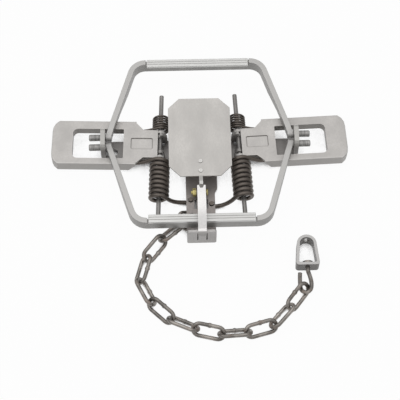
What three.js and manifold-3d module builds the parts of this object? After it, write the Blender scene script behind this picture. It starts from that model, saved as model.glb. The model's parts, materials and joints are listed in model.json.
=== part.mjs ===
// An offset jaw trap of the double lever, four spring kind, lying set: the jaws
// open flat, both levers pressed down and the dog over the front jaw. Its chain
// lies curved in front of it, from the cross plate to a box swivel.
// Millimetres, +Z up, +X right, +Y away from the chain. The origin is the middle
// of the base's underside, on the ground.

import * as THREE from 'three';
import * as BufferGeometryUtils from 'three/addons/utils/BufferGeometryUtils.js';
import Module from 'manifold-3d';

const wasm = await Module();
wasm.setup();

// Clearances
const gap = 0.3;
const overrun = 2;
const wireGap = 1.15;
const weldDistance = 0.0001;

// Facets of round things
const boreSides = 16;
const stemSides = 12;
const nutSides = 6;
const bendSteps = 6;
const eyeSegments = 10;
const strapSegments = 8;
const ringSteps = 24;

// Base bar with its upturned end posts
const baseWidth = 22;
const baseThickness = 4.8;
const postOuterX = 103.5;
const postHeight = 35;
const postCornerRadius = 4;
const slotLength = 13.5;
const slotWidth = 7.5;
const slotInset = 3.5;
const slotOffsetY = -2;

// Jaw pivots in the posts
const pivotY = 5.85;
const pivotZ = 22.5;
const trunnionRadius = 3.5;
const trunnionReach = 12.4;
const trunnionChamfer = 0.7;
const trunnionRoot = 4;

// Jaws: flat bars bent in a bow, with a wide gripping strip let in on top
const jawReachY = 98.4;
const jawBar = 5.9;
const jawTopZ = 28.6;
const jawBottomZ = 15;
const jawCornerRadius = 19;
const jawArmOverLeverZ = 20.4;
const jawEyeRadius = 4.4;
const jawEyeTopZ = 27.3;
const jawRiseY = 18;
const jawArmClearEndY = 36;
const jawArmDropEndY = 62;
const armSplayShare = 0.305;
const jawArmStartY = 6;
const armSideGap = 0.4;
const stripLength = 109;
const stripWidth = 9.2;
const stripThickness = 3;
const stripTopZ = 29;
const stripEndGap = 1.1;
const stripEdge = 0.7;

// Spring rods, splayed a little towards the front
const rodX = 41.5;
const rodZ = 14;
const rodRadius = 2.4;
const rodRearY = 61;
const rodFrontY = 86;
const rodChamfer = 0.6;
const splayDegrees = 2.2;

// Base ears that carry the rods
const earThickness = 3.2;
const earRadius = 4;
const earFootHalf = 5;
const rearEarReach = 7.6;
const earNotchWidth = 4.2;
const earNotchInset = 1;
const earNotchLength = 6.4;

// Levers: pressed channels with a window that passes over the post and jaw ends
const leverTopZ = 19.4;
const leverSheet = 3;
const leverSkirt = 12.5;
const windowSkirt = 9.5;
const leverHalfWidth = 26.2;
const leverShoulderU = 25.5;
const neckRearY = 15.4;
const neckFrontY = -17.6;
const neckShoulderU = 17.5;
const neckEndU = 2.6;
const skirtSlopeLength = 7;
const leverCornerPlaces = [[107, 26.2], [111, 22.6], [113.2, 18], [113.8, 13]];
const earReliefGap = 0.5;
const windowInnerU = 38.5;
const windowOuterU = 92;
const windowRearV = 16.2;
const windowFrontV = -19;
const windowOuterCorner = 5.5;
const windowInnerCorner = 1.2;
const leverEyeRadius = 5.4;
const padStartU = 8;
const padEndU = 30.5;
const padRearY = 5.5;
const padFrontY = -7.3;
const padDepth = 0.8;
const padCorner = 1.5;

// Springs: a heavy pair in front of the levers and a light pair behind them
const heavyWire = 4.5;
const heavyCoilRadius = 8.6;
const heavyTurns = 8;
const heavyEndV = 67;
const lightWire = 2.2;
const lightCoilRadius = 7.8;
const lightTurns = 5;
const lightEndV = 33.2;
const coilSideGap = 0.8;
const curlSteps = 8;
const springSides = 5;
const leverLegEndU = 31;
const leverLegLevelU = 19;
const leverLegDegrees = 30;
const centreLegDegrees = 60;
const centreLegSteps = 7;
const legTipX = 10.8;
const legRunX = 18;
const legDropX = 28;
const legDropZ = 7;
const legTipRise = 1.6;
const legTipDropY = { left: 4.5, right: -0.5 };
const legHoleGap = 0.8;

// Cross plate with the front lip
const plateThickness = 3;
const plateLeftX = -15.5;
const plateRightX = 14.4;
const plateShoulderX = 17.2;
const plateShoulderStartY = -49;
const plateShoulderEndY = -54.5;
const plateRearY = 39;
const lipFrontY = -108.3;
const lipHeight = 24.5;
const lipCornerRadius = 2.5;
const lipWindowHalf = 5.3;
const lipWindowBottomZ = 16.8;
const lipStripHeight = 3;
const lipSlitWidth = 1.2;
const lipSlitBottomZ = 7;
const crossRivetRadius = 2.5;
const crossRivetHead = 4.2;
const crossRivetRise = 1.5;
const crossRivetX = 8;
const crossRivetY = 5;

// Pan ears, pan bolt and nut
const panBoltY = -57;
const panBoltZ = 14;
const panBoltRadius = 2;
const panEarThickness = 2.5;
const panEarRadius = 4.8;
const panEarFootHalf = 6;
const panEarWindowLength = 11;
const panEarWindowStartY = -62;
const boltHeadRadius = 3.6;
const boltHeadHeight = 2.3;
const nutAcrossCorners = 9;
const nutHeight = 3.8;
const boltTail = 1.4;

// Pan and its shank
const panTopZ = 31;
const panSheet = 1.6;
const panHalfX = 32.6;
const panFlatX = 20.9;
const panHalfY = 46.9;
const panFlatY = 35;
const panEdgeRound = 0.6;
const shankThickness = 3.6;
const shankTopZ = 41;
const shankFrontY = -61.6;
const shankHeadLength = 3.6;
const shankRearInset = 24.9;
const shankWeb = 2.2;
const tenonRadius = 1.6;
const tenonHead = 2.2;
const tenonRise = 0.8;
const tenonInsets = [17.5, 6.2];

// Dog: a cast finger that arches over the front jaw from an eye in the lip
const dogWidth = 8.5;
const dogThickness = 3;
const dogEyeWall = 1.9;
const dogEyeGap = 0.4;
const dogNotchWidth = 4.6;
const dogNotchDepth = 3.6;
const dogCentreline = [
  [2.6, 3.1], [3.6, 5.2], [6.3, 8.6], [9.5, 13.5], [12.6, 17], [16, 19.5], [21, 20.9],
  [27, 20.9], [33, 19.8], [38, 18.1], [43.9, 15.4],
];

// Chain ring and the stud that holds it under the cross plate
const ringWire = 3.2;
const ringRadius = 10.4;
const ringX = -14;
const ringY = -84.2;
const ringLift = 3.8;
const ringLiftStartX = -16.9;
const ringLiftEndX = -21.5;
const studX = -10.2;
const studY = -80.2;
const studRadius = 2.2;
const studHeadRadius = 4.4;
const studHeadThickness = 1;

// Chain of plain oval links, lying in a curve
const chainWire = 4.1;
const linkWidth = 17;
const linkPitch = 26.4;
const linkSides = 8;
const linkBendSteps = 7;
const chainZ = 6.9;
const chainStartX = -20.4;
const chainStartY = -89.7;

// Box swivel at the chain's end, placed from the last link
const boxLength = 33.6;
const boxHalfWidth = 11.9;
const boxFarHalf = 10;
const boxHeight = 14.4;
const boxStrap = 3;
const boxFloor = 3;
const boxCorner = 3;
const boxHoleRadius = 3.3;
const eyeWire = 4.5;
const eyeTopGap = 0.7;
const eyeRollDegrees = -12.2;
const eyeSteps = 26;
const eyePath = [
  [0, 5], [0, 2], [0, -3.5], [1.2, -8], [2.2, -13], [2.5, -19], [1.2, -24],
  [-3.2, -26.6], [-7.6, -24], [-8.9, -19], [-8.8, -13], [-8.6, -8], [-8.2, -4.6],
];
const eyeBottom = eyePath[7];
const eyeSeatX = 0.5;
const eyeSeatY = 5.9;
const studHead = 5.6;
const studHeadLength = 2.6;
const swivelZ = boxHeight / 2;

// Values worked out from the sizes above
const postInnerX = postOuterX - baseThickness;
const trunnionHole = trunnionRadius + gap;
const armOuterX = postInnerX - armSideGap;
const plateBottomZ = baseThickness + gap;
const plateTopZ = plateBottomZ + plateThickness;
const lipRearY = lipFrontY + plateThickness;
const dogPivotY = (lipFrontY + lipRearY) / 2;
const dogPivotZ = lipHeight - lipStripHeight / 2;
const dogEyeInner = Math.hypot(plateThickness / 2, lipStripHeight / 2) + dogEyeGap;
const dogEyeOuter = dogEyeInner + dogEyeWall;
const splay = THREE.MathUtils.degToRad(splayDegrees);
const tenonPlaces = tenonInsets.map((inset) => inset - panHalfY);
const shankRearY = shankRearInset - panHalfY;

// Materials
function metal(color, roughness, metalness = 0.85) {
  return new THREE.MeshStandardMaterial({ color, roughness, metalness });
}
const pressedSteel = metal(0xc9c4be, 0.45);
const jawSteel = metal(0xb4b1ad, 0.5);
const stripSteel = metal(0xcfccc6, 0.42);
const plateSteel = metal(0x9a918d, 0.55);
const baseSteel = metal(0x8a8480, 0.55);
const rodSteel = metal(0x8f8c88, 0.5);
const springSteel = metal(0x4a4341, 0.5);
const dogSteel = metal(0xe6e3df, 0.4);
const chainSteel = metal(0x85786f, 0.6);
const brass = metal(0xc3b25c, 0.4);
const eyeSteel = metal(0x7f7873, 0.55);

const trap = new THREE.Group();

// Solids: a closed geometry becomes a manifold solid, and back
function solid(geometry) {
  const bare = geometry.clone();
  bare.deleteAttribute('normal');
  bare.deleteAttribute('uv');
  const merged = BufferGeometryUtils.mergeVertices(bare, weldDistance);
  return new wasm.Manifold(new wasm.Mesh({
    numProp: 3,
    vertProperties: new Float32Array(merged.attributes.position.array),
    triVerts: new Uint32Array(merged.index.array),
  }));
}

function shell(body) {
  const data = body.getMesh();
  const geometry = new THREE.BufferGeometry();
  geometry.setAttribute('position', new THREE.BufferAttribute(data.vertProperties, 3));
  geometry.setIndex(new THREE.BufferAttribute(data.triVerts, 1));
  return geometry;
}

function add(name, body, material) {
  const geometry = body.isBufferGeometry ? body : shell(body);
  const flat = geometry.index ? geometry.toNonIndexed() : geometry;
  flat.computeVertexNormals();
  const mesh = new THREE.Mesh(flat, material);
  mesh.name = name;
  trap.add(mesh);
  return mesh;
}

function joined(first, ...others) {
  return others.reduce((whole, other) => whole.add(other), first);
}

function cut(first, ...others) {
  return others.reduce((whole, other) => whole.subtract(other), first);
}

// Plates: an outline pushed through a thickness, lying or standing
function outline(points) {
  return new THREE.Shape(points.map(([x, y]) => new THREE.Vector2(x, y)));
}

function extruded(shape, depth, curveSegments = bendSteps) {
  return new THREE.ExtrudeGeometry(shape, { depth, bevelEnabled: false, curveSegments });
}

function lyingPlate(shape, bottomZ, thickness, curveSegments) {
  return extruded(shape, thickness, curveSegments).translate(0, 0, bottomZ);
}

function sidePlate(shape, centreX, width, curveSegments) {
  const turn = new THREE.Matrix4().makeBasis(
    new THREE.Vector3(0, 1, 0), new THREE.Vector3(0, 0, 1), new THREE.Vector3(1, 0, 0));
  return extruded(shape, width, curveSegments)
    .applyMatrix4(turn)
    .translate(centreX - width / 2, 0, 0);
}

function frontPlate(shape, rearY, thickness, curveSegments) {
  const turn = new THREE.Matrix4().makeBasis(
    new THREE.Vector3(1, 0, 0), new THREE.Vector3(0, 0, 1), new THREE.Vector3(0, -1, 0));
  return extruded(shape, thickness, curveSegments)
    .applyMatrix4(turn)
    .translate(0, rearY, 0);
}

function roundedBox(minX, minY, maxX, maxY, radius) {
  const shape = new THREE.Shape();
  const turns = [
    [maxX - radius, minY + radius, -Math.PI / 2],
    [maxX - radius, maxY - radius, 0],
    [minX + radius, maxY - radius, Math.PI / 2],
    [minX + radius, minY + radius, Math.PI],
  ];
  turns.forEach(([x, y, start]) => shape.absarc(x, y, radius, start, start + Math.PI / 2, false));
  return shape;
}

function block(minX, maxX, minY, maxY, minZ, maxZ) {
  return new THREE.BoxGeometry(maxX - minX, maxY - minY, maxZ - minZ)
    .translate((minX + maxX) / 2, (minY + maxY) / 2, (minZ + maxZ) / 2);
}

// A turned pin along any line, with small chamfers at its ends
function pin(from, to, radius, facets = boreSides, chamfer = 0) {
  const start = new THREE.Vector3(...from);
  const end = new THREE.Vector3(...to);
  const length = start.distanceTo(end);
  const profile = [
    new THREE.Vector2(0, 0),
    new THREE.Vector2(radius - chamfer, 0),
    new THREE.Vector2(radius, chamfer),
    new THREE.Vector2(radius, length - chamfer),
    new THREE.Vector2(radius - chamfer, length),
    new THREE.Vector2(0, length),
  ];
  const plain = chamfer > 0 ? profile : [profile[0], profile[1], ...profile.slice(-2)];
  const turn = new THREE.Quaternion().setFromUnitVectors(
    new THREE.Vector3(0, 1, 0), end.clone().sub(start).normalize());
  return new THREE.LatheGeometry(plain, facets)
    .applyQuaternion(turn)
    .translate(start.x, start.y, start.z);
}

// A round wire swept along points, with flat ends or closed on itself
function wire(points, radius, sides, closed = false) {
  const count = points.length;
  const tangents = points.map((point, index) => {
    const before = points[closed ? (index + count - 1) % count : Math.max(index - 1, 0)];
    const after = points[closed ? (index + 1) % count : Math.min(index + 1, count - 1)];
    return after.clone().sub(before).normalize();
  });
  const start = new THREE.Vector3(0, 0, 1);
  const third = Math.floor(count / 3);
  if (closed) {
    start.crossVectors(points[third].clone().sub(points[0]),
      points[2 * third].clone().sub(points[0]));
  }
  let normal = start.addScaledVector(tangents[0], -start.dot(tangents[0])).normalize();
  const vertices = [];
  points.forEach((point, index) => {
    const tangent = tangents[index];
    normal = normal.clone().addScaledVector(tangent, -normal.dot(tangent)).normalize();
    const side = new THREE.Vector3().crossVectors(tangent, normal);
    for (let corner = 0; corner < sides; corner += 1) {
      const angle = (corner / sides) * 2 * Math.PI;
      vertices.push(point.clone()
        .addScaledVector(normal, radius * Math.cos(angle))
        .addScaledVector(side, radius * Math.sin(angle)));
    }
  });
  const faces = [];
  const rings = closed ? count : count - 1;
  for (let ring = 0; ring < rings; ring += 1) {
    const here = ring * sides;
    const next = ((ring + 1) % count) * sides;
    for (let corner = 0; corner < sides; corner += 1) {
      const other = (corner + 1) % sides;
      faces.push(here + corner, here + other, next + other);
      faces.push(here + corner, next + other, next + corner);
    }
  }
  for (let corner = 1; !closed && corner < sides - 1; corner += 1) {
    const last = (count - 1) * sides;
    faces.push(0, corner + 1, corner);
    faces.push(last, last + corner, last + corner + 1);
  }
  const geometry = new THREE.BufferGeometry();
  geometry.setAttribute('position', new THREE.Float32BufferAttribute(
    vertices.flatMap((vertex) => vertex.toArray()), 3));
  geometry.setIndex(faces);
  return geometry;
}

function smoothed(points, steps) {
  return new THREE.CatmullRomCurve3(points, false, 'centripetal').getPoints(steps);
}

// Lever side frames: u runs out from the rod, v along it, and both turn by the
// splay, so a point given in them is placed on the left or the right side
const sides = {
  left: { name: 'left', sign: -1, turn: Math.PI - splay, x: -rodX, front: 1 },
  right: { name: 'right', sign: 1, turn: splay, x: rodX, front: -1 },
};

function onSide(side, geometry) {
  return geometry.rotateZ(side.turn).translate(side.x, 0, 0);
}

function sidePoint(side, u, v, z) {
  return new THREE.Vector3(u, v, z)
    .applyAxisAngle(new THREE.Vector3(0, 0, 1), side.turn)
    .add(new THREE.Vector3(side.x, 0, 0));
}

// Where the chain's first ring and the spring legs pass the cross plate
function legTip(side, frontOrRear) {
  const sign = side.name === 'left' ? -1 : 1;
  const tipY = frontOrRear === 'front'
    ? -heavyEndV + legTipDropY[side.name]
    : lightEndV - lightWire / 2;
  return new THREE.Vector3(sign * legTipX, tipY, plateTopZ + legTipRise);
}

// Base frame: one bar with its ends turned up as posts, and ears for the rods
function baseFrame() {
  const half = baseWidth / 2;
  const bar = solid(block(-postOuterX, postOuterX, -half, half, 0, baseThickness));
  const posts = [-1, 1].map((sign) => {
    const face = roundedBox(-half, -postCornerRadius, half, postHeight, postCornerRadius);
    const post = solid(sidePlate(face, sign * (postOuterX - baseThickness / 2), baseThickness));
    const below = solid(block(-postOuterX - overrun, postOuterX + overrun, -baseWidth,
      baseWidth, -postCornerRadius - overrun, baseThickness / 2));
    const holes = [-1, 1].map((hand) => solid(pin(
      [sign * (postInnerX - overrun), hand * pivotY, pivotZ],
      [sign * (postOuterX + overrun), hand * pivotY, pivotZ], trunnionHole)));
    return cut(post, below, ...holes);
  });
  const ears = Object.values(sides).flatMap((side) => [-1, 1].map((hand) => {
    const middle = sidePoint(side, 0, 0, rodZ).x;
    const face = new THREE.Shape();
    face.moveTo(middle - earFootHalf, baseThickness / 2);
    face.lineTo(middle + earFootHalf, baseThickness / 2);
    face.absarc(middle, rodZ, earRadius, 0, Math.PI, false);
    const rearY = hand > 0 ? half : earThickness - half;
    const ear = solid(frontPlate(face, rearY, earThickness));
    return hand > 0 ? ear.add(solid(frontPlate(rearEarWing(side, middle), rearY,
      earThickness))) : ear;
  }));
  const bores = Object.values(sides).map((side) => solid(onSide(side, pin(
    [0, -baseWidth, rodZ], [0, baseWidth, rodZ], rodRadius + gap))));
  const slotEndX = -postOuterX + slotInset;
  const slotShape = roundedBox(slotEndX, slotOffsetY - slotWidth / 2,
    slotEndX + slotLength, slotOffsetY + slotWidth / 2, slotWidth / 2 - gap / 2);
  const slot = solid(lyingPlate(slotShape, -overrun, baseThickness + 2 * overrun));
  const rivetHoles = crossRivetPlaces().map(([x, y]) => solid(pin(
    [x, y, -overrun], [x, y, baseThickness + overrun], crossRivetRadius + gap)));
  const notches = Object.values(sides).map((side) => {
    const outerX = side.x - side.sign * earNotchInset;
    const innerX = outerX - side.sign * earNotchWidth;
    return solid(block(Math.min(innerX, outerX), Math.max(innerX, outerX),
      half - earNotchLength, half + overrun, -overrun, baseThickness));
  });
  return cut(joined(bar, ...posts, ...ears), ...bores, slot, ...rivetHoles, ...notches);
}

// The rear ears are broad on their inner side, with a round top
function rearEarWing(side, middle) {
  const wing = new THREE.Shape();
  const innerX = middle - side.sign * rearEarReach;
  wing.moveTo(middle, baseThickness / 2);
  wing.lineTo(innerX, baseThickness / 2);
  wing.lineTo(innerX, rodZ);
  wing.absarc(middle, rodZ, rearEarReach, side.sign > 0 ? Math.PI : 0, Math.PI / 2,
    side.sign > 0);
  return wing;
}

function crossRivetPlaces() {
  return [-1, 1].flatMap((sx) => [-1, 1].map((sy) => [sx * crossRivetX, sy * crossRivetY]));
}

// Cross plate: lies on the base, stands on its lip, and carries pan and dog
function crossPlate() {
  const flat = outline([
    [plateLeftX, plateRearY], [plateLeftX, lipRearY],
    [plateRightX, lipRearY], [plateRightX, plateShoulderEndY],
    [plateShoulderX, plateShoulderStartY], [plateShoulderX, plateRearY],
  ]);
  const plate = solid(lyingPlate(flat, plateBottomZ, plateThickness));
  const lipShape = roundedBox(plateLeftX, 0, plateRightX, lipHeight, lipCornerRadius);
  const lip = solid(frontPlate(lipShape, lipRearY + gap, plateThickness + gap));
  const trim = solid(block(plateLeftX - overrun, plateRightX + overrun,
    lipRearY, lipRearY + overrun, plateTopZ, lipHeight + overrun));
  const trimBelow = solid(block(plateLeftX - overrun, plateRightX + overrun,
    lipRearY, lipRearY + overrun, -overrun, plateBottomZ));
  const stripBottomZ = lipHeight - lipStripHeight;
  const lipWindow = solid(block(-lipWindowHalf, lipWindowHalf, lipFrontY - overrun,
    lipRearY + overrun, lipWindowBottomZ, stripBottomZ));
  const slits = [-1, 1].map((sign) => {
    const slitX = sign * (lipWindowHalf - lipSlitWidth / 2);
    return solid(block(slitX - lipSlitWidth / 2, slitX + lipSlitWidth / 2,
      lipFrontY - overrun, lipRearY, lipSlitBottomZ, lipWindowBottomZ + overrun));
  });
  const earX = shankThickness / 2 + gap + panEarThickness / 2;
  const ears = [-1, 1].map((sign) => {
    const face = new THREE.Shape();
    face.moveTo(panBoltY - panEarFootHalf, plateTopZ - plateThickness / 2);
    face.lineTo(panBoltY + panEarFootHalf, plateTopZ - plateThickness / 2);
    face.absarc(panBoltY, panBoltZ, panEarRadius, 0, Math.PI, false);
    return solid(sidePlate(face, sign * earX, panEarThickness));
  });
  const bore = solid(pin([plateLeftX, panBoltY, panBoltZ],
    [plateRightX, panBoltY, panBoltZ], panBoltRadius + gap));
  const earOuterX = earX + panEarThickness / 2;
  const windows = [-1, 1].map((sign) => {
    const middle = sign * (earOuterX + panEarThickness / 2);
    return solid(block(middle - panEarThickness / 2, middle + panEarThickness / 2,
      panEarWindowStartY - panEarWindowLength, panEarWindowStartY,
      plateBottomZ - overrun, plateTopZ + overrun));
  });
  const legHoles = Object.values(sides).flatMap((side) => ['front', 'rear'].map((end) => {
    const tip = legTip(side, end);
    const wireRadius = (end === 'front' ? heavyWire : lightWire) / 2;
    return solid(pin([tip.x, tip.y, plateBottomZ - overrun],
      [tip.x, tip.y, plateTopZ + overrun], wireRadius + legHoleGap));
  }));
  const studHole = solid(pin([studX, studY, plateBottomZ - overrun],
    [studX, studY, plateTopZ + overrun], studRadius + gap));
  const rivetHoles = crossRivetPlaces().map(([x, y]) => solid(pin(
    [x, y, plateBottomZ - overrun], [x, y, plateTopZ + overrun], crossRivetRadius + gap)));
  const whole = joined(plate, cut(lip, trim, trimBelow), ...ears);
  return cut(whole, lipWindow, ...slits, bore, ...windows, ...legHoles, studHole,
    ...rivetHoles);
}

// Rivets that hold the cross plate on the base
function crossRivets() {
  return crossRivetPlaces().map(([x, y]) => {
    const shank = solid(pin([x, y, gap], [x, y, plateTopZ + gap + crossRivetRise / 2],
      crossRivetRadius, stemSides));
    const head = new THREE.LatheGeometry([
      new THREE.Vector2(0, 0),
      new THREE.Vector2(crossRivetHead, 0),
      new THREE.Vector2((crossRivetHead + crossRivetRadius) / 2, crossRivetRise / 2),
      new THREE.Vector2(crossRivetRadius / 2, crossRivetRise),
      new THREE.Vector2(0, crossRivetRise),
    ], stemSides).rotateX(Math.PI / 2).translate(x, y, plateTopZ + gap);
    return joined(shank, solid(head));
  });
}

// Lever outline: from the neck to the outer end, drawn in by an inset
function leverOutline(side, startU, inset) {
  const half = leverCornerPlaces.map(([u, v], index) => {
    const share = index / (leverCornerPlaces.length - 1);
    return [u - inset * share, v - inset * (1 - share)];
  });
  const rear = [[startU, leverHalfWidth - inset], ...half];
  const whole = [...rear, ...rear.map(([u, v]) => [u, -v]).reverse()];
  return whole.map(([u, v]) => [side.sign * (rodX + u), v]);
}

function sideBox(side, startU, endU, startY, endY, radius) {
  const ends = [side.sign * (rodX + startU), side.sign * (rodX + endU)];
  return roundedBox(Math.min(...ends), startY, Math.max(...ends), endY, radius);
}

// The lever's window, or its collar when grown: nearly square corners at its inner
// end and round ones at its outer end
function leverWindow(side, grow, bottomZ, height) {
  const middleU = (windowInnerU + windowOuterU) / 2;
  const parts = [[middleU, windowInnerCorner], [windowOuterU, windowOuterCorner]];
  return joined(...parts.map(([endU, corner]) => solid(lyingPlate(sideBox(side,
    windowInnerU - grow, endU + grow, windowFrontV - grow, windowRearV + grow,
    corner + grow), bottomZ, height))));
}

// Lever: a pressed plate with skirts, a window and two eyes on the rod, drawn
// square and then turned with the rod
function lever(side) {
  const sheetBottomZ = leverTopZ - leverSheet;
  const skirtBottomZ = leverTopZ - leverSkirt;
  const place = ([u, y]) => [side.sign * (rodX + u), y];
  const neck = [
    [neckEndU, neckFrontY], [neckShoulderU, neckFrontY],
    [leverShoulderU + overrun, -leverHalfWidth], [leverShoulderU + overrun, leverHalfWidth],
    [neckShoulderU, neckRearY], [neckEndU, neckRearY],
  ].map(place);
  const top = joined(
    solid(lyingPlate(outline(leverOutline(side, leverShoulderU, 0)), sheetBottomZ,
      leverSheet)),
    solid(lyingPlate(outline(neck), sheetBottomZ, leverSheet)));
  const skirt = cut(
    solid(lyingPlate(outline(leverOutline(side, leverShoulderU, 0)), skirtBottomZ,
      leverSkirt - leverSheet / 2)),
    solid(lyingPlate(outline(leverOutline(side, leverShoulderU - overrun, leverSheet)),
      skirtBottomZ - overrun, leverSkirt + 2 * overrun)),
    solid(frontPlate(outline([
      [leverShoulderU - overrun, skirtBottomZ - overrun],
      [leverShoulderU + skirtSlopeLength, skirtBottomZ - overrun],
      [leverShoulderU + skirtSlopeLength, skirtBottomZ],
      [leverShoulderU, sheetBottomZ - gap], [leverShoulderU - overrun, sheetBottomZ - gap],
    ].map(place)), leverHalfWidth + overrun, 2 * (leverHalfWidth + overrun))));
  const collar = leverWindow(side, leverSheet, leverTopZ - windowSkirt,
    windowSkirt - leverSheet / 2);
  const hole = leverWindow(side, 0, skirtBottomZ - overrun, leverSkirt + 2 * overrun);
  const flanges = [-1, 1].map((hand) => {
    const middleY = (hand > 0 ? neckRearY : neckFrontY) - hand * leverSheet / 2;
    const endX = side.sign * (rodX + neckShoulderU);
    const eye = solid(frontPlate(new THREE.Shape().absarc(side.x, rodZ, leverEyeRadius,
      0, 2 * Math.PI, false), middleY + leverSheet / 2, leverSheet, eyeSegments));
    const web = solid(block(Math.min(side.x, endX), Math.max(side.x, endX),
      middleY - leverSheet / 2, middleY + leverSheet / 2, rodZ - leverEyeRadius,
      leverTopZ - leverSheet / 2));
    return joined(eye, web);
  });
  const bore = solid(pin([side.x, -leverHalfWidth, rodZ], [side.x, leverHalfWidth, rodZ],
    rodRadius + gap));
  const reliefs = [-1, 1].map((hand) => {
    const endY = hand * (baseWidth / 2 + earReliefGap);
    const startY = hand * (baseWidth / 2 - earThickness - earReliefGap);
    return solid(pin([side.x, startY, rodZ], [side.x, endY, rodZ],
      earRadius + earReliefGap));
  });
  const pad = solid(lyingPlate(sideBox(side, padStartU, padEndU, padFrontY, padRearY,
    padCorner), leverTopZ - padDepth, padDepth + overrun));
  const sheet = joined(top, skirt, collar, ...flanges);
  const squared = shell(cut(sheet, hole, bore, pad, ...reliefs));
  return squared.translate(-side.x, 0, 0).rotateZ(side.sign * splay).translate(side.x, 0, 0);
}

// Jaw: a bow of flat bar, its ends turned out as pivots in the posts
function jaw(hand) {
  const armLine = (y) => Math.min(armOuterX, armOuterX + armSplayShare * (jawArmStartY - y));
  const cornerTurn = Math.PI / 2 - Math.atan(armSplayShare);
  const tangent = jawCornerRadius * Math.tan(cornerTurn / 2);
  const cornerX = armLine(jawReachY);
  const arcCentreX = cornerX - tangent;
  const arcCentreY = jawReachY - jawCornerRadius;
  const endY = pivotY - jawEyeRadius;
  const bow = (offset) => {
    const radius = jawCornerRadius - offset;
    const sideX = (y) => armLine(y) - offset / Math.cos(Math.PI / 2 - cornerTurn);
    const points = [[armOuterX - offset, endY], [sideX(jawArmStartY), jawArmStartY]];
    for (let step = 0; step <= bendSteps; step += 1) {
      const angle = (step / bendSteps) * cornerTurn + Math.PI / 2 - cornerTurn;
      points.push([arcCentreX + radius * Math.cos(angle), arcCentreY + radius * Math.sin(angle)]);
    }
    return points;
  };
  const mirrored = (points) => points.map(([x, y]) => [-x, y]).reverse();
  const outer = bow(0);
  const inner = bow(jawBar);
  const plan = outline([...outer, ...mirrored(outer), ...mirrored(inner).reverse(),
    ...inner.slice().reverse()]);
  const bar = solid(lyingPlate(plan, 0, postHeight * 2));
  const profile = new THREE.Shape();
  profile.absarc(pivotY, pivotZ, jawEyeRadius, Math.PI / 2, 1.5 * Math.PI, false);
  profile.lineTo(jawRiseY - jawEyeRadius, jawArmOverLeverZ);
  profile.lineTo(jawArmClearEndY, jawArmOverLeverZ);
  profile.lineTo(jawArmDropEndY, jawBottomZ);
  profile.lineTo(jawReachY + overrun, jawBottomZ);
  profile.lineTo(jawReachY + overrun, jawTopZ);
  profile.lineTo(jawRiseY, jawTopZ);
  profile.lineTo(pivotY + jawEyeRadius, jawEyeTopZ);
  const shaped = bar.intersect(solid(sidePlate(profile, 0, 4 * postOuterX)));
  const seatHalf = stripLength / 2 + stripEndGap;
  const seat = solid(block(-seatHalf, seatHalf, jawReachY - jawBar - overrun,
    jawReachY + overrun, stripTopZ - stripThickness - gap, jawTopZ + overrun));
  const trunnions = [-1, 1].map((sign) => solid(pin(
    [sign * (armOuterX - trunnionRoot), pivotY, pivotZ],
    [sign * (postOuterX + trunnionReach), pivotY, pivotZ], trunnionRadius, boreSides,
    trunnionChamfer)));
  const whole = shell(joined(cut(shaped, seat), ...trunnions));
  return hand > 0 ? whole : whole.rotateZ(Math.PI);
}

// Gripping strip: the wide face let in along the top of each jaw
function jawStrip(hand) {
  const bottomZ = stripTopZ - stripThickness;
  const profile = outline([
    [jawReachY - stripWidth, bottomZ], [jawReachY, bottomZ],
    [jawReachY, stripTopZ - stripEdge], [jawReachY - stripEdge, stripTopZ],
    [jawReachY - stripWidth + stripEdge, stripTopZ],
    [jawReachY - stripWidth, stripTopZ - stripEdge],
  ]);
  const strip = sidePlate(profile, 0, stripLength);
  return hand > 0 ? strip : strip.rotateZ(Math.PI);
}

// Spring rod: a plain round bar through lever eyes and base ears
function springRod(side) {
  const frontV = side.front * rodFrontY;
  const rearV = -side.front * rodRearY;
  return onSide(side, pin([0, frontV, rodZ], [0, rearV, rodZ], rodRadius, stemSides,
    rodChamfer));
}

// Torsion spring: one wire from under the lever's shoulder up over the rod, wound
// round it, and from the last curl down to the cross plate, where its tip turns
// up through a hole
function springPath(side, end, wireSize, coilRadius, turns, endV) {
  const towards = end === 'front' ? side.front : -side.front;
  const neckEdge = end === 'front' ? -neckFrontY : neckRearY;
  const startV = neckEdge + coilSideGap + wireSize / 2;
  const stopV = endV - wireSize / 2;
  const underLeverZ = leverTopZ - leverSheet - 2 * gap - wireSize / 2;
  const points = [
    sidePoint(side, leverLegEndU, towards * startV, underLeverZ),
    sidePoint(side, leverLegLevelU, towards * startV, underLeverZ),
  ];
  const startAngle = -THREE.MathUtils.degToRad(leverLegDegrees);
  const endAngle = turns * 2 * Math.PI + THREE.MathUtils.degToRad(centreLegDegrees);
  const steps = Math.round((endAngle - startAngle) / (2 * Math.PI) * curlSteps);
  for (let step = 0; step <= steps; step += 1) {
    const share = step / steps;
    const angle = startAngle + (endAngle - startAngle) * share;
    points.push(sidePoint(side, -coilRadius * Math.sin(angle),
      towards * (startV + (stopV - startV) * share), rodZ + coilRadius * Math.cos(angle)));
  }
  const tip = legTip(side, end);
  const sign = Math.sign(tip.x);
  const underPlateZ = plateBottomZ - gap - wireSize / 2;
  const leave = points[points.length - 1];
  const leg = smoothed([
    leave,
    new THREE.Vector3(sign * legDropX, (leave.y + tip.y) / 2, legDropZ),
    new THREE.Vector3(sign * legRunX, tip.y, underPlateZ),
    new THREE.Vector3(tip.x + sign * wireSize / 2, tip.y, underPlateZ),
  ], centreLegSteps);
  points.push(...leg.slice(1));
  points.push(new THREE.Vector3(tip.x, tip.y, underPlateZ + wireSize / 2));
  points.push(tip);
  return points;
}

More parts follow.
